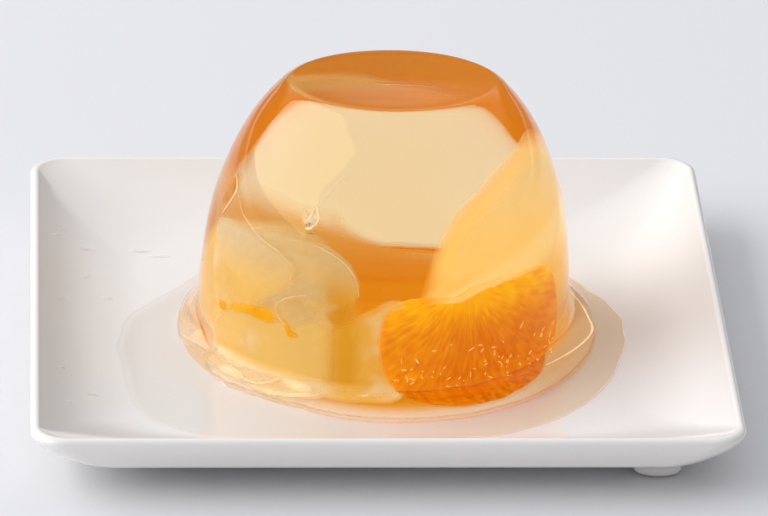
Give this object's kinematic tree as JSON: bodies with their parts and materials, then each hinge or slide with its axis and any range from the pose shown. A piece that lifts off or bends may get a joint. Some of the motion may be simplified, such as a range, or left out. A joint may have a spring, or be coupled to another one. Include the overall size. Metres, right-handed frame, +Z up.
{
  "type": "moulded fruit jelly on a square plate",
  "caption": "Clear amber fruit jelly turned out of a cup mould, resting in its syrup on a square white glazed dessert plate.",
  "frame": {"origin": "on the table, under the middle of the square plate", "axes": "+Z up, +X to the right and +Y to the back as the dessert is served, both along the plate's sides"},
  "size_m": [0.16, 0.16, 0.0699],
  "materials": {
    "porcelain": "gloss",
    "jelly": "gloss",
    "syrup": "gloss",
    "mandarin": "satin",
    "pale_fruit": "satin"
  },
  "bodies": {
    "root": {"plate": "porcelain", "jelly": "jelly", "syrup": "syrup"}
  },
  "joints": []
}
